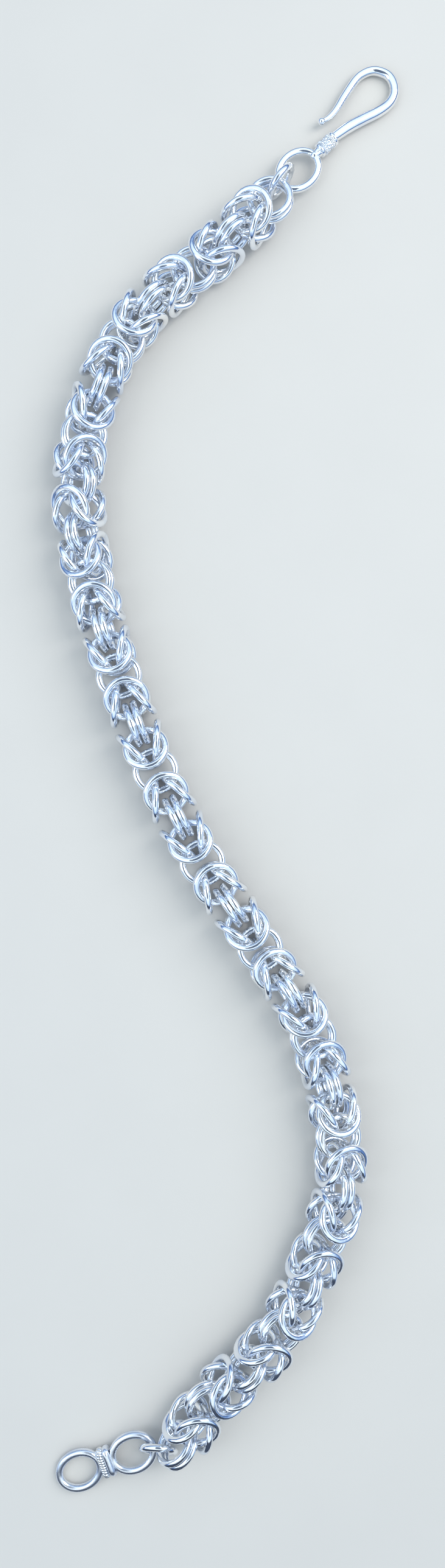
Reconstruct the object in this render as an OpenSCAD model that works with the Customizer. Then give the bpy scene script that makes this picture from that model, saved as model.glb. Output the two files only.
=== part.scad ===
// Byzantine chain of round wire rings with a hook and a double eye.
// It lies open on a flat surface, which is z = 0; +Y runs from the eye to the hook.

/* [Chain rings] */
// Diameter of the wire of the chain's rings
wire_d = 0.95; // [0.8:0.05:0.95]
// Inside diameter of the chain's rings
ring_id = 4.45; // [4.4:0.05:4.9]
// Number of knots between the two end pairs
knots = 28; // [10:2:32]
// Clear space left between two rings of a pair
link_gap = 0.12; // [0.1:0.01:0.14]

/* [Jump rings] */
// Diameter of the wire of the two jump rings
jump_wire_d = 1; // [0.8:0.05:1.05]
// Inside diameter of the two jump rings
jump_id = 3.5; // [3.3:0.05:4]

/* [Soldered ovals] */
// Outside length of the ovals of the hook and the eye
oval_length = 7; // [6.6:0.1:7.6]
// Outside width of the ovals
oval_width = 5.75; // [5.4:0.05:6.4]
// Diameter of the wire of the ovals
oval_wire_d = 1.05; // [0.9:0.05:1.1]

/* [Hook] */
// Diameter of the hook's wire at its thickest
hook_wire_d = 1.5; // [1.2:0.05:1.7]
// Length of the hook's bow beyond its collar
hook_length = 12; // [10:0.1:14]
// Width of the bow between the centres of its two sides
hook_width = 5.4; // [4.8:0.1:7]
// Diameter of the ball at the hook's tip
tip_d = 1.05; // [0.9:0.05:1.3]
// Length of the collar between the oval and the bow
collar_length = 3.2; // [2.8:0.1:4]
// Diameter of the collar over its beads
collar_d = 2.1; // [1.8:0.05:2.4]

/* [Eye] */
// Width of the two bands that hold the eye's ovals together
band_width = 4.3; // [3.8:0.1:4.8]
// Height of the two bands
band_height = 2.2; // [2:0.05:2.4]
// Diameter of the wire of the two bands
band_wire_d = 0.95; // [0.8:0.05:1]
// Clear space between the outer ends of the eye's two ovals
oval_space = 0.85; // [0.5:0.05:1]

/* [Hidden] */

$fn = 40;
wire_sides = 14;
oval_stations = 36;
bow_steps = 4;

// Route of the chain from the hook's end: x, y and how far it has rolled over
route = [
    [6.4, 78.4, -12],
    [-1.5, 71, -10],
    [-9.5, 64.5, -6],
    [-14, 58.5, 2],
    [-17, 52, 14],
    [-18.9, 45, 28],
    [-19.3, 39, 45],
    [-18.8, 33.5, 62],
    [-17.6, 27, 76],
    [-14.2, 15.5, 88],
    [-9.5, 3, 92],
    [-3, -10, 92],
    [5, -22, 94],
    [12, -33.5, 102],
    [15.5, -47, 110],
    [15.5, -54.5, 114],
    [13.5, -61.5, 115],
    [8, -73, 115],
    [3, -78.5, 115],
    [-2, -83, 115],
    [-5.5, -88, 115],
    [-10, -92, 115]
];
// The chain lies slack in its first bend: share of a knot's length that is
// lost there, the knot in the middle of it and the number of knots it spreads over
slack = 0.055;
slack_knot = 8.5;
slack_spread = 3;

// Set of a knot, as shares of the rings' centreline radius and of its length
ring_r = (ring_id + wire_d) / 2;
knot_length = 2.563 * ring_r;
seat_r = 0.62 * ring_r;
far_share = 0.48;
splay = 25;
pair_spacing = wire_d + link_gap;

jump_r = (jump_id + jump_wire_d) / 2;
oval_a = (oval_length - oval_wire_d) / 2;
oval_b = (oval_width - oval_wire_d) / 2;

// How the ovals hang in the jump rings
oval_lift = 1.65;
hook_rim_space = 0.52;
eye_rim_space = 0.75;
hook_swing = 7.7;
hook_turn = -8;
eye_swing = -27;
eye_turn = 2.3;
eye_oval_turn = 9;
// Jump ring: place along, across and above the middle of its gap, lean and turn
hook_jump_set = [-0.1, 0.63, 0.23, -3, 0];
eye_jump_set = [-0.3, 0.36, -0.25, 32, 23];

// Centreline of the hook's bow: share of its length along, share of its
// width across and share of its wire's thickness
bow = [
    [0, 0.03, 0.84],
    [0.25, -0.04, 1],
    [0.44, -0.14, 1],
    [0.63, -0.255, 0.98],
    [0.78, -0.285, 0.93],
    [0.895, -0.2, 0.89],
    [0.97, -0.02, 0.87],
    [1, 0.225, 0.87],
    [0.965, 0.455, 0.86],
    [0.9, 0.62, 0.83],
    [0.8, 0.71, 0.8],
    [0.68, 0.72, 0.78],
    [0.46, 0.605, 0.73],
    [0.325, 0.515, 0.68],
    [0.23, 0.47, 0.62],
    [0.145, 0.47, 0.54],
    [0.07, 0.515, 0.5]
];

function unit(v) = v / norm(v);
function plan(p) = [p.x, p.y];

// Smooth curve through a list of points, u counting from one to the next
function bend(a, b, c, d, t) =
    (2 * b + (c - a) * t + (2 * a - 5 * b + 4 * c - d) * t * t
    + (3 * b - a - 3 * c + d) * t * t * t) / 2;
function curve_at(list, u) =
    let (last = len(list) - 1)
    let (k = min(floor(u), last - 1))
    let (before = k > 0 ? list[k - 1] : 2 * list[0] - list[1])
    let (after = k + 2 <= last ? list[k + 2] : 2 * list[last] - list[last - 1])
    bend(before, list[k], list[k + 1], after, u - k);

// The route in short steps, moved so that the part lies centred on the origin,
// and the length covered at each of them
route_steps = 20;
centring = [-0.53, -0.67, 0];
track = [
    for (i = [0:(len(route) - 1) * route_steps]) curve_at(route, i / route_steps) + centring
];
function step_length(i) = norm(plan(track[i]) - plan(track[i - 1]));
covered = [
    for (i = 0, s = 0; i < len(track); i = i + 1, s = i < len(track) ? s + step_length(i) : s) s
];
function find_step(s, low, high) =
    high - low < 2 ? low :
    let (middle = floor((low + high) / 2))
    covered[middle] > s ? find_step(s, low, middle) : find_step(s, middle, high);
function track_at(s) =
    let (k = find_step(s, 0, len(track) - 1))
    track[k] + (track[k + 1] - track[k]) * (s - covered[k]) / (covered[k + 1] - covered[k]);

// Direction of travel, level side direction and roll of the chain at a length
heading_span = 1.5;
function heading(s) =
    let (d = unit(plan(track_at(s + heading_span) - track_at(s - heading_span))))
    [d.x, d.y, 0];
function level_side(s) =
    let (h = heading(s))
    [h.y, -h.x, 0];
function roll(s) = track_at(s)[2];
function side_at(s, angle) = cos(angle) * level_side(s) + [0, 0, sin(angle)];
function top_at(s, angle) = -sin(angle) * level_side(s) + [0, 0, cos(angle)];

// Height of the chain's middle at which its lowest rings just touch the surface
function reach(angle) =
    seat_r * abs(cos(angle)) + ring_r * norm([sin(angle), sin(splay) * cos(angle)]) + wire_d / 2;
function rest_height(angle) = max(reach(angle), reach(angle + 90));
function middle_at(s) =
    let (p = track_at(s))
    [p.x, p.y, rest_height(roll(s))];

// Length of each knot, and the length along the chain at each pair
function knot_span(k) =
    knot_length * (1 - slack * exp(-pow((k + 0.5 - slack_knot) / slack_spread, 2)));
station = [for (k = 0, s = 0; k <= knots; k = k + 1, s = s + knot_span(k - 1)) s];

// Pairs lie flat and upright in turn
function lies_flat(i) = i % 2 == 0;
function pair_axis(i) =
    lies_flat(i) ? top_at(station[i], roll(station[i])) : side_at(station[i], roll(station[i]));

// A ring of round wire at a centre, square to an axis
module ring_at(centre, axis, r, d) {
    translate(centre)
        rotate([0, acos(axis.z / norm(axis)), atan2(axis.y, axis.x)])
            rotate_extrude()
                translate([r, 0])
                    circle(d = d);
}

// Two rings side by side that link one knot to the next
module pair(i) {
    for (s = [-1, 1])
        ring_at(middle_at(station[i]) + s * pair_axis(i) * pair_spacing / 2, pair_axis(i), ring_r, wire_d);
}

// The two rings of knot k that pass through pair i and spread round the far pair
module folded_rings(k, i) {
    onward = i == k ? 1 : -1;
    far = max(far_share * knot_span(k), ring_r * cos(splay) + (wire_d + link_gap) / 2);
    s = station[i] + onward * (knot_span(k) - far);
    angle = roll((station[k] + station[k + 1]) / 2);
    up = lies_flat(i) ? side_at(s, angle) : top_at(s, angle);
    across = lies_flat(i) ? top_at(s, angle) : side_at(s, angle);
    for (way = [-1, 1])
        ring_at(
            middle_at(s) + way * up * seat_r,
            cross(across, onward * heading(s) * cos(splay) + way * up * sin(splay)),
            ring_r,
            wire_d
        );
}

module chain() {
    color("silver") {
        for (k = [0:knots - 1]) {
            pair(k);
            folded_rings(k, k);
            folded_rings(k, k + 1);
        }
        pair(knots);
    }
}

// Round wire along a level path: points are [x, y], with a diameter for each
module wire_along(path, diameters, closed) {
    count = len(path);
    last = count - 1;
    function next_of(i) = closed ? path[(i + 1) % count] : path[min(i + 1, last)];
    function previous_of(i) = closed ? path[(i + last) % count] : path[max(i - 1, 0)];
    vertices = [
        for (i = [0:last])
            let (along = unit(next_of(i) - previous_of(i)))
            let (r = diameters[i] / 2)
            for (j = [0:wire_sides - 1])
                let (angle = j * 360 / wire_sides)
                [
                    path[i].x - along.y * r * cos(angle),
                    path[i].y + along.x * r * cos(angle),
                    r * sin(angle)
                ]
    ];
    function corner(i, j) = (i % count) * wire_sides + j % wire_sides;
    walls = [
        for (i = [0:closed ? last : last - 1])
            for (j = [0:wire_sides - 1])
                [corner(i, j), corner(i + 1, j), corner(i + 1, j + 1), corner(i, j + 1)]
    ];
    caps = closed ? [] : [
        [for (j = [0:wire_sides - 1]) corner(0, j)],
        [for (j = [0:wire_sides - 1]) corner(last, wire_sides - 1 - j)]
    ];
    polyhedron(points = vertices, faces = concat(walls, caps), convexity = 6);
}

module oval() {
    path = [
        for (i = [0:oval_stations - 1])
            let (angle = i * 360 / oval_stations)
            [oval_a * cos(angle), oval_b * sin(angle)]
    ];
    wire_along(path, [for (p = path) oval_wire_d], true);
}

// Places what is inside at the centre of an oval that hangs on pair i
function swung(direction, angle) =
    [
        direction.x * cos(angle) - direction.y * sin(angle),
        direction.x * sin(angle) + direction.y * cos(angle),
        0
    ];
hook_way = swung(-heading(0), hook_swing);
eye_way = swung(heading(station[knots]), eye_swing);
hook_joint = ring_r + oval_a + hook_rim_space;
eye_joint = ring_r + oval_a + eye_rim_space;
hook_oval = middle_at(0) + hook_joint * hook_way;
eye_oval = middle_at(station[knots]) + eye_joint * eye_way;
module on_oval(centre, way, turn, tilt) {
    translate([centre.x, centre.y, oval_lift])
        rotate([0, tilt, atan2(way.y, way.x) + turn])
            children();
}

module jump_ring(start, way, joint, set) {
    level = [-way.y, way.x, 0];
    centre = start + way * (joint / 2 + set[0]) + level * set[1];
    axis = cos(set[3]) * (cos(set[4]) * level + sin(set[4]) * way) + [0, 0, sin(set[3])];
    ring_at([centre.x, centre.y, (start.z + oval_lift) / 2 + set[2]], axis, jump_r, jump_wire_d);
}

module hook_jump_ring() {
    color("silver")
        jump_ring(middle_at(0), hook_way, hook_joint, hook_jump_set);
}

module eye_jump_ring() {
    color("silver")
        jump_ring(middle_at(station[knots]), eye_way, eye_joint, eye_jump_set);
}

// Collar round the X axis: a pad on the oval and a cone, then beads between two bands
pad_d = 1.3;
neck_d = 1.2;
bead_d = 0.62;
bead_rows = 3;
bead_row_step = 0.95 * bead_d;
beads_in_row = 9;
end_band_d = 0.6;
overlap = 0.1;
core_d = collar_d - bead_d;
collar_end = oval_length / 2 + collar_length;
beads_end = collar_end - end_band_d;
beads_start = beads_end - bead_rows * bead_row_step;
module cone_along_x(start, end, d_start, d_end) {
    translate([start, 0, 0])
        rotate([0, 90, 0])
            cylinder(d1 = d_start, d2 = d_end, h = end - start);
}
module collar() {
    translate([oval_a, 0, 0])
        sphere(d = pad_d);
    cone_along_x(oval_a, beads_start, neck_d, core_d + overlap);
    cone_along_x(beads_start - overlap, collar_end, core_d, core_d);
    for (x = [beads_start - end_band_d / 2, beads_end + end_band_d / 2])
        ring_at([x, 0, 0], [1, 0, 0], (collar_d - end_band_d - overlap) / 2, end_band_d);
    for (row = [0:bead_rows - 1])
        for (k = [0:beads_in_row - 1])
            translate([beads_start + (row + 0.5) * bead_row_step, 0, 0])
                rotate([(k + row / 2) * 360 / beads_in_row, 0, 0])
                    translate([0, 0, core_d / 2])
                        sphere(d = bead_d);
}

// The bow starts a little inside the collar
bow_start = collar_end - 0.6;
module bow_wire() {
    stations = [for (i = [0:(len(bow) - 1) * bow_steps]) curve_at(bow, i / bow_steps)];
    path = [for (p = stations) [bow_start + p[0] * hook_length, p[1] * hook_width]];
    wire_along(path, [for (p = stations) p[2] * hook_wire_d], false);
    tip = path[len(path) - 1];
    translate([tip.x, tip.y, 0])
        sphere(d = tip_d);
}

// The hook slopes down until the far end of its bow, of this share of its
// wire's thickness, lies on the surface
bow_end_share = 0.9;
hook_tilt = asin((oval_lift - bow_end_share * hook_wire_d / 2) / (bow_start + hook_length));
module hook() {
    color("silver")
        on_oval(hook_oval, hook_way, hook_turn, hook_tilt) {
            oval();
            collar();
            bow_wire();
        }
}

// Closed band of wire round the X axis: flat above and below, round at its sides
module band() {
    r = (band_height - band_wire_d) / 2;
    flat = band_width / 2 - band_height / 2;
    for (side = [-1, 1]) {
        translate([0, side * flat, 0])
            rotate([side * 90 - 90, 90, 0])
                rotate_extrude(angle = 180)
                    translate([r, 0])
                        circle(d = band_wire_d);
        translate([0, -flat, side * r])
            rotate([-90, 0, 0])
                cylinder(d = band_wire_d, h = 2 * flat);
    }
}

// Solid core inside the bands
module band_core(length) {
    flat = band_width / 2 - band_height / 2;
    core_height = band_height - 1.15 * band_wire_d;
    rotate([90, 0, 90])
        linear_extrude(height = length, center = true) {
            square([2 * flat + 0.3, core_height], center = true);
            for (side = [-1, 1])
                translate([side * (flat + 0.15), 0])
                    circle(d = core_height);
        }
}

eye_centres = oval_length + oval_space;
eye_reach = eye_centres + oval_a;
eye_tilt = asin((oval_lift - oval_wire_d / 2) / eye_reach);
module eye() {
    color("silver")
        on_oval(eye_oval, eye_way, eye_turn, eye_tilt) {
            for (x = [0, eye_centres])
                translate([x, 0, 0])
                    rotate([0, 0, eye_oval_turn])
                        oval();
            translate([eye_centres / 2, 0, 0]) {
                band_core(2 * band_wire_d);
                for (side = [-1, 1])
                    translate([side * band_wire_d * 0.48, 0, 0])
                        band();
            }
        }
}

hook();
hook_jump_ring();
chain();
eye_jump_ring();
eye();
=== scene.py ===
"""Looks of a byzantine chain with its hook and eye, lying on a plain pale table."""

import math

import bmesh
import bpy
import numpy as np
from mathutils import Matrix, Vector


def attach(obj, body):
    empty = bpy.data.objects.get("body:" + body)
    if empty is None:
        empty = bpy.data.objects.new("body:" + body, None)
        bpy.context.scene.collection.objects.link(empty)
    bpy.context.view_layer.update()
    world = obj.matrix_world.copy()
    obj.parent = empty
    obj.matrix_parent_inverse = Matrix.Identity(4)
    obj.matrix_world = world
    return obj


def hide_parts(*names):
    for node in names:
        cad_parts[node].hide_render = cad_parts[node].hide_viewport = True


MM = 0.001
FULL_TURN = 2 * math.pi

# Sizes in millimetres and turns in degrees, as the part's source has them
RING_WIRE = 0.95
RING_INSIDE = 4.45
JUMP_WIRE = 1.0
JUMP_INSIDE = 3.5
OVAL_WIRE = 1.05
OVAL_LENGTH = 7
OVAL_WIDTH = 5.75
OVAL_LIFT = 1.65
PAD_D = 1.3
NECK_D = 1.2
COLLAR_LENGTH = 3.2
COLLAR_D = 2.1
CUFF_WIRE = 0.6
CUFF_SUNK = 0.1
BEAD_D = 0.62
BEAD_ROWS_LENGTH = 3 * 0.95 * BEAD_D
HOOK_WIRE = 1.5
HOOK_LENGTH = 12
HOOK_WIDTH = 5.4
BOW_OVERLAP = 0.6
TIP_D = 1.05
OVAL_SPACE = 0.85
EYE_OVAL_TURN = 9
BAND_WIRE = 0.95
BAND_WIDTH = 4.3
BAND_HEIGHT = 2.2
BAND_OFFSET = 0.48 * BAND_WIRE

# Sizes that follow from those
RING_RADIUS = (RING_INSIDE + RING_WIRE) / 2
JUMP_RADIUS = (JUMP_INSIDE + JUMP_WIRE) / 2
OVAL_A = (OVAL_LENGTH - OVAL_WIRE) / 2
OVAL_B = (OVAL_WIDTH - OVAL_WIRE) / 2
CORE_D = COLLAR_D - BEAD_D
COLLAR_END = OVAL_LENGTH / 2 + COLLAR_LENGTH
BEADS_END = COLLAR_END - CUFF_WIRE
BEADS_START = BEADS_END - BEAD_ROWS_LENGTH
BOW_START = COLLAR_END - BOW_OVERLAP
EYE_CENTRES = OVAL_LENGTH + OVAL_SPACE

# Finer forms that only this script has, in millimetres
CLOSURE_WIDTH = 0.06
FINE_WIRE = 0.22
FINE_WIRE_RISE = 0.1
FINE_WIRE_TWISTS = 11
GRAINS_IN_ROW = 10
GRAIN_ROW_PLACES = (0.36, 0.64)
GRAIN_SIZES = (0.46, 0.6)
STRAND_WIRE = 0.5 * BAND_WIRE
STRAND_TWISTS = 12
STRAND_CORE_D = 0.66 * BAND_WIRE

# Centreline of the hook's bow: share of its length along, share of its width
# across and share of its wire's thickness
BOW = [
    (0, 0.03, 0.84),
    (0.25, -0.04, 1),
    (0.44, -0.14, 1),
    (0.63, -0.255, 0.98),
    (0.78, -0.285, 0.93),
    (0.895, -0.2, 0.89),
    (0.97, -0.02, 0.87),
    (1, 0.225, 0.87),
    (0.965, 0.455, 0.86),
    (0.9, 0.62, 0.83),
    (0.8, 0.71, 0.8),
    (0.68, 0.72, 0.78),
    (0.46, 0.605, 0.73),
    (0.325, 0.515, 0.68),
    (0.23, 0.47, 0.62),
    (0.145, 0.47, 0.54),
    (0.07, 0.515, 0.5),
]


def laid(x, y, heading, tilt):
    """The place of an end piece: its first oval's centre, its heading and its tilt."""
    return (
        Matrix.Translation(Vector((x, y, OVAL_LIFT)) * MM)
        @ Matrix.Rotation(math.radians(heading), 4, "Z")
        @ Matrix.Rotation(math.radians(tilt), 4, "Y")
        @ Matrix.Scale(MM, 4)
    )


HOOK_PLACE = laid(x=9.7695, y=82.5437, heading=42.99, tilt=3.088)
EYE_PLACE = laid(x=-12.6594, y=-91.3091, heading=201.02, tilt=5.965)

# In metres: the table lies a hair below the lowest wire
TABLE_Z = -0.00002

# The sky that the metal shows: height, from 0 at the horizon to 1 overhead, and colour
SKY = [
    (0.0, (0.04, 0.08, 0.19)),
    (0.25, (0.12, 0.23, 0.5)),
    (0.5, (0.66, 0.84, 1.0)),
    (0.8, (0.86, 0.95, 1.0)),
]

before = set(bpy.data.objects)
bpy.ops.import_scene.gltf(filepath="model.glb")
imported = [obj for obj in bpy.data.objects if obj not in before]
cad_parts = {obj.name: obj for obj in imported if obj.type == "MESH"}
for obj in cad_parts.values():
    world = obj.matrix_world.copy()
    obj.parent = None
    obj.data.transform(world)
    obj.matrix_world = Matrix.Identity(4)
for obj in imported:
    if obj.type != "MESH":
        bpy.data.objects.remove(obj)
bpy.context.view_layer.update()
chance = np.random.default_rng(28)


class Socket:
    """An output socket on which arithmetic adds Math nodes."""

    def __init__(self, board, socket):
        self.board = board
        self.socket = socket

    def maths(self, operation, *values):
        return self.board.add("ShaderNodeMath", {"operation": operation}, *values)

    def __add__(self, other):
        return self.maths("ADD", self, other)

    def __radd__(self, other):
        return self.maths("ADD", other, self)

    def __rsub__(self, other):
        return self.maths("SUBTRACT", other, self)

    def __mul__(self, other):
        return self.maths("MULTIPLY", self, other)

    def __rmul__(self, other):
        return self.maths("MULTIPLY", other, self)

    def fade(self, start, end):
        """0 at start and 1 at end, held beyond both."""
        return self.board.add(
            "ShaderNodeMapRange",
            {"interpolation_type": "SMOOTHSTEP"},
            Value=self,
            From_Min=start,
            From_Max=end,
        )


class Board:
    """A node tree in the making, of a material, a shape or the world."""

    def __init__(self, tree):
        self.tree = tree
        tree.nodes.clear()

    def add(self, kind, settings=None, *values, output=0, **named):
        """Adds a node: its settings first, then its sockets in order or by name."""
        node = self.tree.nodes.new(kind)
        for name, value in (settings or {}).items():
            if name == "stops":
                self.set_stops(node.color_ramp, value)
            else:
                setattr(node, name, value)
        for socket, value in zip(node.inputs, values):
            self.feed(socket, value)
        for name, value in named.items():
            self.feed(self.find(node, name), value)
        return Socket(self, node.outputs[output]) if node.outputs else node

    def find(self, node, name):
        by_identifier = [s for s in node.inputs if s.identifier == name]
        by_name = [s for s in node.inputs if s.name == name.replace("_", " ")]
        return (by_identifier or by_name)[0]

    def feed(self, socket, value):
        if isinstance(value, Socket):
            self.tree.links.new(value.socket, socket)
        else:
            socket.default_value = value

    def set_stops(self, ramp, stops):
        while len(ramp.elements) < len(stops):
            ramp.elements.new(0.5)
        for element, (position, colour) in zip(ramp.elements, stops):
            element.position = position
            element.color = (*colour, 1)

    def blend(self, factor, first, second):
        """A colour between two others."""
        return self.add(
            "ShaderNodeMix",
            {"data_type": "RGBA"},
            output=2,
            Factor_Float=factor,
            A_Color=first if isinstance(first, Socket) else (*first, 1),
            B_Color=second if isinstance(second, Socket) else (*second, 1),
        )


# Materials
class Finish(Board):
    """A material in the making, with patterns that lie in the object's own space."""

    def __init__(self, name):
        self.material = bpy.data.materials.new(name)
        self.material.use_nodes = True
        super().__init__(self.material.node_tree)
        self.place = self.add("ShaderNodeTexCoord", output="Object")

    def noise(self, size, detail, stretch=(1, 1, 1)):
        """Soft noise whose lumps are about size millimetres across."""
        scale = [s / (size * MM) for s in stretch]
        place = self.add("ShaderNodeMapping", None, Vector=self.place, Scale=scale)
        return self.add("ShaderNodeTexNoise", None, Vector=place, Scale=1.0, Detail=detail)

    def attribute(self, name):
        return self.add("ShaderNodeAttribute", {"attribute_name": name}, output="Fac")

    def bump(self, height, depth, strength, under=None):
        """A relief of up to depth millimetres, laid over another one if that is given."""
        more = {} if under is None else {"Normal": under}
        return self.add(
            "ShaderNodeBump", None, Strength=strength, Distance=depth * MM, Height=height, **more
        )

    def close(self, **values):
        surface = self.add("ShaderNodeBsdfPrincipled", None, **values)
        self.add("ShaderNodeOutputMaterial", None, Surface=surface)
        return self.material


def silver(name, bright, shade, rough, closures=False, tarnish=0.0):
    """Polished silver: hand-worked waves, wipe marks, and a dull film in patches.

    With closures each ring has a tone of its own and a dark line where its wire meets.
    Tarnish is how dark the small hollows are.
    """
    metal = Finish(name)
    film = metal.noise(size=3.2, detail=3).fade(start=0.42, end=0.68)
    colour = metal.blend(film * 0.7, bright, shade)
    roughness = rough + 0.07 * film + 0.05 * metal.noise(size=0.35, detail=4)
    if closures:
        colour = metal.blend(metal.attribute("tone") * 0.5, colour, shade)
        width = CLOSURE_WIDTH / (FULL_TURN * RING_RADIUS)
        cut = 1 - metal.attribute("along").fade(start=0.0, end=width)
        colour = metal.blend(cut * 0.75, colour, (0.2, 0.23, 0.28))
        roughness = roughness + 0.2 * cut
    if tarnish:
        hollows = metal.noise(size=0.5, detail=3).fade(start=0.5, end=0.62)
        colour = metal.blend(hollows * tarnish, colour, (0.2, 0.22, 0.26))
    waves = metal.bump(metal.noise(size=1.3, detail=1), depth=0.05, strength=0.5)
    wiped = metal.noise(size=0.12, detail=3, stretch=(1, 0.25, 1))
    marks = metal.bump(wiped, depth=0.003, strength=0.4, under=waves)
    return metal.close(Base_Color=colour, Metallic=1.0, Roughness=roughness, Normal=marks)


CHAIN_SILVER = silver(
    "chain_silver", bright=(0.97, 0.975, 0.98), shade=(0.76, 0.83, 0.95), rough=0.11, closures=True
)
HOOK_SILVER = silver(
    "hook_silver", bright=(0.97, 0.975, 0.98), shade=(0.78, 0.84, 0.94), rough=0.08
)
BEAD_SILVER = silver(
    "bead_silver", bright=(0.96, 0.97, 0.98), shade=(0.8, 0.86, 0.94), rough=0.2, tarnish=0.2
)
# The eye's silver is rougher than the chain's, a duller finish of its own. Its darker, bluer colours
# are painted shade, standing in for the darker reflections round the eye's end.
EYE_SILVER_WITH_PAINTED_SHADE = silver("eye_silver", bright=(0.86, 0.9, 0.97), shade=(0.6, 0.68, 0.82), rough=0.24)


# Shapes
class Shape(Board):
    """A shape's node tree, whose named inputs are its sizes."""

    def __init__(self, name, **sizes):
        self.group = bpy.data.node_groups.new(name, "GeometryNodeTree")
        super().__init__(self.group)
        kinds = {float: "NodeSocketFloat", int: "NodeSocketInt"}
        self.offer("Path", "NodeSocketGeometry")
        for title, value in sizes.items():
            self.offer(title.replace("_", " "), kinds[type(value)]).default_value = value
        self.offer("Metal", "NodeSocketMaterial")
        self.offer("Shape", "NodeSocketGeometry", "OUTPUT")
        self.source = self.tree.nodes.new("NodeGroupInput")

    def offer(self, title, kind, way="INPUT"):
        return self.group.interface.new_socket(title, in_out=way, socket_type=kind)

    def given(self, title):
        return Socket(self, self.source.outputs[title])

    def read(self, name, kind="FLOAT"):
        return self.add("GeometryNodeInputNamedAttribute", {"data_type": kind}, Name=name)

    def swept(self, curve, thickness, sides):
        profile = self.add("GeometryNodeCurvePrimitiveCircle", None, Resolution=sides, Radius=0.5)
        return self.add(
            "GeometryNodeCurveToMesh",
            None,
            Curve=curve,
            Profile_Curve=profile,
            Scale=thickness,
            Fill_Caps=True,
        )

    def close(self, geometry):
        """Ends the tree: instances made real, smooth shading and the metal."""
        real = self.add("GeometryNodeRealizeInstances", None, Geometry=geometry)
        smooth = self.add("GeometryNodeSetShadeSmooth", None, Geometry=real)
        coated = self.add(
            "GeometryNodeSetMaterial", None, Geometry=smooth, Material=self.given("Metal")
        )
        self.add("NodeGroupOutput", None, coated)
        return self.group


def closed_rings():
    """Rings of round wire, one at each point of the path, turned as it says.

    Each point of a ring keeps how far along it lies, so that the closure can be drawn.
    """
    shape = Shape(
        "closed_rings",
        Ring_Radius=RING_RADIUS,
        Wire_Diameter=RING_WIRE,
        Ring_Sides=28,
        Wire_Sides=12,
    )
    circle = shape.add(
        "GeometryNodeCurvePrimitiveCircle",
        None,
        Resolution=shape.given("Ring Sides"),
        Radius=shape.given("Ring Radius"),
    )
    measured = shape.add(
        "GeometryNodeStoreNamedAttribute",
        {"data_type": "FLOAT", "domain": "POINT"},
        Geometry=circle,
        Name="along",
        Value=shape.add("GeometryNodeSplineParameter"),
    )
    ring = shape.swept(measured, shape.given("Wire Diameter"), shape.given("Wire Sides"))
    rings = shape.add(
        "GeometryNodeInstanceOnPoints",
        None,
        Points=shape.given("Path"),
        Instance=ring,
        Rotation=shape.read("turn", "FLOAT_VECTOR"),
    )
    return shape.close(rings)


def drawn_wire():
    """Round wire along a path, as thick at each point as the path says."""
    shape = Shape("drawn_wire", Wire_Sides=20)
    curve = shape.add("GeometryNodeMeshToCurve", None, Mesh=shape.given("Path"))
    return shape.close(shape.swept(curve, shape.read("thickness"), shape.given("Wire Sides")))


def set_beads():
    """A bead at each point of the path, of the size that the point says."""
    shape = Shape("set_beads", Rounds=2)
    ball = shape.add(
        "GeometryNodeMeshIcoSphere", None, Radius=0.5, Subdivisions=shape.given("Rounds")
    )
    beads = shape.add(
        "GeometryNodeInstanceOnPoints",
        None,
        Points=shape.given("Path"),
        Instance=ball,
        Scale=shape.read("thickness"),
    )
    return shape.close(beads)


RINGS = closed_rings()
DRAWN = drawn_wire()
BEADS = set_beads()


def make_path(points, closed=False, loose=False, **facts):
    """A mesh of points, joined in a line or left loose, with a fact kept for each."""
    count = len(points)
    steps = [(i, (i + 1) % count) for i in range(count if closed else count - 1)]
    mesh = bpy.data.meshes.new("path")
    mesh.from_pydata([tuple(p) for p in points], [] if loose else steps, [])
    for name, values in facts.items():
        values = np.array(values, float)
        vector = values.ndim == 2
        layer = mesh.attributes.new(name, "FLOAT_VECTOR" if vector else "FLOAT", "POINT")
        layer.data.foreach_set("vector" if vector else "value", values.ravel())
    return mesh


def grown(name, path, tree, metal, **sizes):
    """The plain mesh that a shape's tree makes of a path."""
    maker = bpy.data.objects.new(name + "_maker", path)
    bpy.context.collection.objects.link(maker)
    modifier = maker.modifiers.new("shape", "NODES")
    modifier.node_group = tree
    inputs = {s.name: s.identifier for s in tree.interface.items_tree if s.in_out == "INPUT"}
    for title, value in {"Metal": metal, **sizes}.items():
        modifier[inputs[title.replace("_", " ")]] = value
    seen = maker.evaluated_get(bpy.context.evaluated_depsgraph_get())
    mesh = bpy.data.meshes.new_from_object(seen)
    maker.modifiers.remove(modifier)
    bpy.data.objects.remove(maker)
    mesh.name = name
    return mesh


def wire_mesh(name, points, thickness, metal, closed=False, sides=20):
    path = make_path(points, closed=closed, thickness=thickness)
    return grown(name, path, DRAWN, metal, Wire_Sides=sides)


def bead_mesh(name, points, sizes, metal, rounds):
    path = make_path(points, loose=True, thickness=sizes)
    return grown(name, path, BEADS, metal, Rounds=rounds)


def one_piece(name, meshes, place):
    """One piece made of several meshes, set in its place."""
    whole = bmesh.new()
    materials = []
    for mesh in meshes:
        first = len(whole.faces)
        whole.from_mesh(mesh)
        whole.faces.ensure_lookup_table()
        for face in whole.faces[first:]:
            metal = mesh.materials[face.material_index]
            if metal not in materials:
                materials.append(metal)
            face.material_index = materials.index(metal)
    whole.transform(place)
    bmesh.ops.recalc_face_normals(whole, faces=whole.faces)
    mesh = bpy.data.meshes.new(name)
    whole.to_mesh(mesh)
    whole.free()
    for metal in materials:
        mesh.materials.append(metal)
    piece = bpy.data.objects.new(name, mesh)
    bpy.context.collection.objects.link(piece)
    return piece


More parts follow.
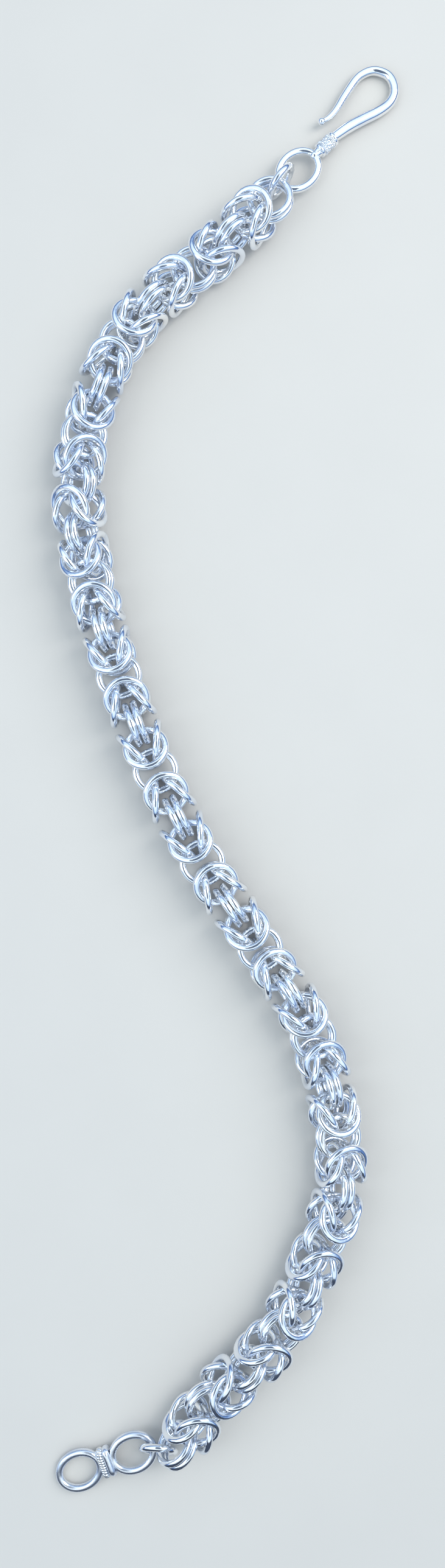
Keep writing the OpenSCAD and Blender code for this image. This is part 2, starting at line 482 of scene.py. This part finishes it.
# Rings
def loose_parts(solid):
    """The points of each part of a mesh that no edge joins to the rest."""
    seen = set()
    for start in solid.verts:
        if start.index in seen:
            continue
        part = []
        waiting = [start]
        seen.add(start.index)
        while waiting:
            vertex = waiting.pop()
            part.append(vertex.co[:])
            for edge in vertex.link_edges:
                other = edge.other_vert(vertex)
                if other.index not in seen:
                    seen.add(other.index)
                    waiting.append(other)
        yield np.array(part)


def ring_places(node):
    """The centre and the upward axis of each ring of a CAD node."""
    solid = bmesh.new()
    solid.from_mesh(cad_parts[node].data)
    bmesh.ops.remove_doubles(solid, verts=solid.verts, dist=1e-6)
    solid.verts.ensure_lookup_table()
    places = []
    for points in loose_parts(solid):
        centre = (points.min(0) + points.max(0)) / 2
        axis = np.linalg.svd(points - centre, full_matrices=False)[2][2]
        places.append((centre / MM, axis if axis[2] >= 0 else -axis))
    solid.free()
    return places


def make_rings(node, radius, wire, sides):
    """All rings of a CAD node, each closed at a place of its own and with a tone of its own."""
    places = ring_places(node)
    turns = []
    for centre, axis in places:
        lean = Vector(axis).to_track_quat("Z", "Y").to_matrix()
        spin = Matrix.Rotation(chance.uniform(0, FULL_TURN), 3, "Z")
        turns.append((lean @ spin).to_euler()[:])
    tones = chance.uniform(0, 1, len(places))
    path = make_path([centre for centre, axis in places], loose=True, turn=turns, tone=tones)
    sizes = {"Ring_Radius": radius, "Wire_Diameter": wire, "Ring_Sides": sides}
    mesh = grown(node + "_rings", path, RINGS, CHAIN_SILVER, **sizes)
    piece = one_piece(node + "_rings", [mesh], Matrix.Scale(MM, 4))
    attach(piece, "root")
    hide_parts(node)
    return piece


# Wire forms of the hook and the eye
def smooth_rows(rows, steps):
    """Rows of numbers with a smooth curve through them."""
    rows = np.array(rows, float)
    padded = np.vstack([2 * rows[0] - rows[1], rows, 2 * rows[-1] - rows[-2]])
    out = []
    for k in range(len(rows) - 1):
        a, b, c, d = padded[k : k + 4]
        slope, bend, turn = c - a, 2 * a - 5 * b + 4 * c - d, 3 * b - a - 3 * c + d
        for t in np.arange(steps) / steps:
            out.append((2 * b + slope * t + bend * t**2 + turn * t**3) / 2)
    return np.array([*out, rows[-1]])


def oval(name, centre, turn, metal, count=72):
    """An oval of round wire that lies flat, turned in its own plane."""
    angles = np.arange(count) * FULL_TURN / count
    turn = math.radians(turn)
    x = OVAL_A * np.cos(angles)
    y = OVAL_B * np.sin(angles)
    along = centre + x * math.cos(turn) - y * math.sin(turn)
    across = x * math.sin(turn) + y * math.cos(turn)
    points = np.stack([along, across, 0 * x], axis=1)
    return wire_mesh(name, points, np.full(count, OVAL_WIRE), metal, closed=True)


def circle_way(radius, count):
    """The way round a circle, as points across and up."""
    angles = np.arange(count) * FULL_TURN / count
    return radius * np.stack([np.cos(angles), np.sin(angles)], axis=1)


def band_way(count):
    """The way round one of the eye's bands: flat above and below, round at its sides."""
    radius = (BAND_HEIGHT - BAND_WIRE) / 2
    flat = BAND_WIDTH / 2 - BAND_HEIGHT / 2
    straight = 2 * flat
    bend = math.pi * radius
    total = 2 * (straight + bend)
    points = []
    for s in np.arange(count) * total / count:
        half, rest = divmod(s, straight + bend)
        sign = 1 - 2 * half
        if rest < straight:
            y, z = rest - flat, radius
        else:
            angle = (rest - straight) / radius
            y, z = flat + radius * math.sin(angle), radius * math.cos(angle)
        points.append((sign * y, sign * z))
    return np.array(points)


def wire_round(name, x, way, wire, metal, sides=20):
    """A closed wire that follows a way round the X axis."""
    points = [(x, y, z) for y, z in way]
    return wire_mesh(name, points, np.full(len(way), wire), metal, closed=True, sides=sides)


def twisted_round(name, x, way, wire, twists, metal, sides):
    """Two wires, twisted together as they follow a way round the X axis."""
    count = len(way)
    ahead = np.roll(way, -1, axis=0) - np.roll(way, 1, axis=0)
    aside = np.stack([ahead[:, 1], -ahead[:, 0]], axis=1)
    aside /= np.linalg.norm(aside, axis=1)[:, None]
    twist = np.arange(count) * FULL_TURN * twists / count
    wires = []
    for start in (0, math.pi):
        y, z = (way + aside * wire / 2 * np.cos(twist + start)[:, None]).T
        points = np.stack([x + wire / 2 * np.sin(twist + start), y, z], axis=1)
        wires.append(
            wire_mesh(name, points, np.full(count, wire), metal, closed=True, sides=sides)
        )
    return wires


# Hook
def hook_pad():
    """The drop of solder between the oval and the collar."""
    return bead_mesh("hook_pad", [(OVAL_A, 0, 0)], [PAD_D], HOOK_SILVER, rounds=3)


def hook_cone():
    """The neck, which widens into the collar's core."""
    neck, flare = 0.45, 0.5
    rows = [
        (OVAL_A, NECK_D),
        (OVAL_A + neck, NECK_D + 0.03),
        (BEADS_START - flare, CORE_D - 0.02),
        (BEADS_START, CORE_D + 0.08),
        (COLLAR_END, CORE_D),
    ]
    points = [(x, 0, 0) for x, d in rows]
    return wire_mesh("hook_cone", points, [d for x, d in rows], HOOK_SILVER, sides=28)


def hook_cuffs():
    """A plain ring of wire at each end of the collar."""
    way = circle_way((COLLAR_D - CUFF_WIRE - CUFF_SUNK) / 2, count=36)
    return [
        wire_round("hook_cuff", x, way, CUFF_WIRE, HOOK_SILVER, sides=12)
        for x in (BEADS_START - CUFF_WIRE / 2, BEADS_END + CUFF_WIRE / 2)
    ]


def hook_twists():
    """A ring of fine twisted wire against each cuff."""
    way = circle_way(CORE_D / 2 + FINE_WIRE_RISE, count=8 * FINE_WIRE_TWISTS)
    wires = []
    for x in (BEADS_START + FINE_WIRE, BEADS_END - FINE_WIRE):
        wires += twisted_round(
            "hook_twist", x, way, FINE_WIRE, FINE_WIRE_TWISTS, BEAD_SILVER, sides=8
        )
    return wires


def hook_grains():
    """Two rows of grains round the core, none quite in its place or like another."""
    turn_slip, row_slip = 0.12, 0.05
    grains = []
    sizes = []
    for row, place in enumerate(GRAIN_ROW_PLACES):
        for k in range(GRAINS_IN_ROW):
            angle = (k + row / 2) * FULL_TURN / GRAINS_IN_ROW + chance.uniform(-turn_slip, turn_slip)
            x = BEADS_START + place * BEAD_ROWS_LENGTH + chance.uniform(-row_slip, row_slip)
            grains.append((x, CORE_D / 2 * math.cos(angle), CORE_D / 2 * math.sin(angle)))
            sizes.append(chance.uniform(*GRAIN_SIZES))
    return bead_mesh("hook_grains", grains, sizes, BEAD_SILVER, rounds=2)


def hook_bow():
    """The tapering wire of the bow, with the ball at its tip."""
    rows = smooth_rows(BOW, steps=6)
    points = [(BOW_START + r[0] * HOOK_LENGTH, r[1] * HOOK_WIDTH, 0) for r in rows]
    thickness = [r[2] * HOOK_WIRE for r in rows]
    return [
        wire_mesh("hook_bow", points, thickness, HOOK_SILVER, sides=24),
        bead_mesh("hook_tip", [points[-1]], [TIP_D], HOOK_SILVER, rounds=3),
    ]


def make_hook():
    shapes = [
        oval("hook_oval", 0, 0, HOOK_SILVER),
        hook_pad(),
        hook_cone(),
        *hook_cuffs(),
        *hook_twists(),
        hook_grains(),
        *hook_bow(),
    ]
    piece = one_piece("hook_form", shapes, HOOK_PLACE)
    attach(piece, "root")
    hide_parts("hook")
    return piece


# Eye
def twisted_band(x):
    """Two wires twisted together round the joint, with a plain one inside them."""
    core = wire_round("eye_twist_core", x, band_way(48), STRAND_CORE_D, BEAD_SILVER, sides=10)
    strands = twisted_round(
        "eye_twist", x, band_way(144), STRAND_WIRE, STRAND_TWISTS, BEAD_SILVER, sides=10
    )
    return [core, *strands]


def eye_core():
    """Solder that fills the bands and thins towards its ends."""
    inset, shoulder = 0.6, 0.2
    end_d, shoulder_d, middle_d = 0.2, 0.8, 1.15
    half = BAND_WIDTH / 2 - inset
    rows = [
        (-half, end_d),
        (shoulder - half, shoulder_d),
        (0, middle_d),
        (half - shoulder, shoulder_d),
        (half, end_d),
    ]
    points = [(EYE_CENTRES / 2, y, 0) for y, d in rows]
    return wire_mesh("eye_core", points, [d for y, d in rows], BEAD_SILVER)


def make_eye():
    middle = EYE_CENTRES / 2
    shapes = [
        oval("eye_near_oval", 0, EYE_OVAL_TURN, EYE_SILVER_WITH_PAINTED_SHADE),
        oval("eye_far_oval", EYE_CENTRES, EYE_OVAL_TURN, EYE_SILVER_WITH_PAINTED_SHADE),
        wire_round("eye_band", middle - BAND_OFFSET, band_way(48), BAND_WIRE, EYE_SILVER_WITH_PAINTED_SHADE),
        *twisted_band(middle + BAND_OFFSET),
        eye_core(),
    ]
    piece = one_piece("eye_form", shapes, EYE_PLACE)
    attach(piece, "root")
    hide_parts("eye")
    return piece


# Table and light, in metres
def paper_finish(name, tone):
    """Plain paper, a little uneven in tone and grain."""
    paper = Finish(name)
    deeper = [0.93 * part for part in tone]
    return paper.close(
        Base_Color=paper.blend(paper.noise(size=14, detail=3) * 0.6, tone, deeper),
        Roughness=0.75,
        Normal=paper.bump(paper.noise(size=0.4, detail=3), depth=0.02, strength=0.3),
    )


def staged(name, corners, faces, material):
    """A thing that only stands round the object."""
    mesh = bpy.data.meshes.new(name)
    mesh.from_pydata(corners, [], faces)
    mesh.materials.append(material)
    board = bpy.data.objects.new(name, mesh)
    bpy.context.collection.objects.link(board)
    return board


def table_top():
    half = 1.5
    sides = [(-half, -half), (half, -half), (half, half), (-half, half)]
    corners = [(x, y, TABLE_Z) for x, y in sides]
    staged("table", corners, [(0, 1, 2, 3)], paper_finish("table_paper", (0.6, 0.575, 0.54)))


def backdrop():
    """A pale wall far round the chain, which the metal doesn't show."""
    sides, radius, low, high = 48, 1.4, -0.01, 2.5
    corners = []
    faces = []
    for k in range(sides):
        x, y = (radius * part(k * FULL_TURN / sides) for part in (math.cos, math.sin))
        corners += [(x, y, low), (x, y, high)]
        this, onward = 2 * k, 2 * ((k + 1) % sides)
        faces.append((this, this + 1, onward + 1, onward))
    wall = staged("backdrop", corners, faces, paper_finish("wall_paper", (0.6, 0.6, 0.6)))
    wall.visible_glossy = False
    wall.visible_diffuse = False
    wall.visible_shadow = False


def dark_card(name, corners, tone):
    """A dark card that shows only in the metal's reflections."""
    card = Finish(name + "_paper")
    lighter = [1.4 * part for part in tone]
    colour = card.blend(card.noise(size=9, detail=2), tone, lighter)
    board = staged(name, corners, [(0, 1, 2, 3)], card.close(Base_Color=colour, Roughness=0.9))
    board.visible_camera = False
    board.visible_diffuse = False
    board.visible_shadow = False


def dark_cards():
    """One upright beyond the eye, for its dark lower flanks, and one flat above the camera."""
    left, right, away, top = -0.085, 0.05, -0.12, 0.05
    upright = [(left, away, top), (right, away, top), (right, away, TABLE_Z), (left, away, TABLE_Z)]
    dark_card("card_beyond", upright, (0.035, 0.045, 0.07))
    wide, long, above = 0.06, 0.11, 0.184
    flat = [(-wide, -long, above), (-wide, long, above), (wide, long, above), (wide, -long, above)]
    dark_card("card_over", flat, (0.12, 0.16, 0.24))


def softbox(name, place, size, power, colour):
    """A rectangular light that faces the middle of the table."""
    light = bpy.data.lights.new(name, "AREA")
    light.shape = "RECTANGLE"
    light.size, light.size_y = size
    light.energy = power
    light.color = colour
    lamp = bpy.data.objects.new(name, light)
    lamp.location = place
    lamp.rotation_euler = (-Vector(place)).to_track_quat("-Z", "Y").to_euler()
    bpy.context.collection.objects.link(lamp)


def sky():
    world = bpy.data.worlds.new("studio")
    bpy.context.scene.world = world
    world.use_nodes = True
    air = Board(world.node_tree)
    way = air.add("ShaderNodeTexCoord", output="Generated")
    height = air.add("ShaderNodeSeparateXYZ", None, way, output="Z")
    colour = air.add("ShaderNodeValToRGB", {"stops": SKY}, height)
    glow = air.add("ShaderNodeBackground", None, Color=colour, Strength=1.15)
    air.add("ShaderNodeOutputWorld", None, Surface=glow)


def studio():
    sky()
    softbox("key", place=(0.24, 0.14, 0.3), size=(0.2, 0.34), power=0.9, colour=(1, 0.99, 0.97))
    softbox("fill", place=(-0.3, -0.06, 0.24), size=(0.16, 0.4), power=0.35, colour=(0.8, 0.89, 1))
    bpy.context.scene.view_settings.view_transform = "Standard"


def camera():
    """Looks straight down from 18 cm above the table."""
    focal_pixels, height_pixels = 2170, 2576
    data = bpy.data.cameras.new("camera")
    data.sensor_fit = "AUTO"
    data.sensor_width = 36
    data.lens = data.sensor_width * focal_pixels / height_pixels
    data.clip_start = 0.002
    data.clip_end = 10
    tripod = bpy.data.objects.new("camera", data)
    tripod.location = (-0.00053, -0.00067, 0.1807)
    bpy.context.collection.objects.link(tripod)
    bpy.context.scene.camera = tripod


camera()
studio()
table_top()
backdrop()
dark_cards()
make_rings("chain", RING_RADIUS, RING_WIRE, 28)
make_rings("eye_jump_ring", JUMP_RADIUS, JUMP_WIRE, 40)
make_rings("hook_jump_ring", JUMP_RADIUS, JUMP_WIRE, 40)
make_hook()
make_eye()
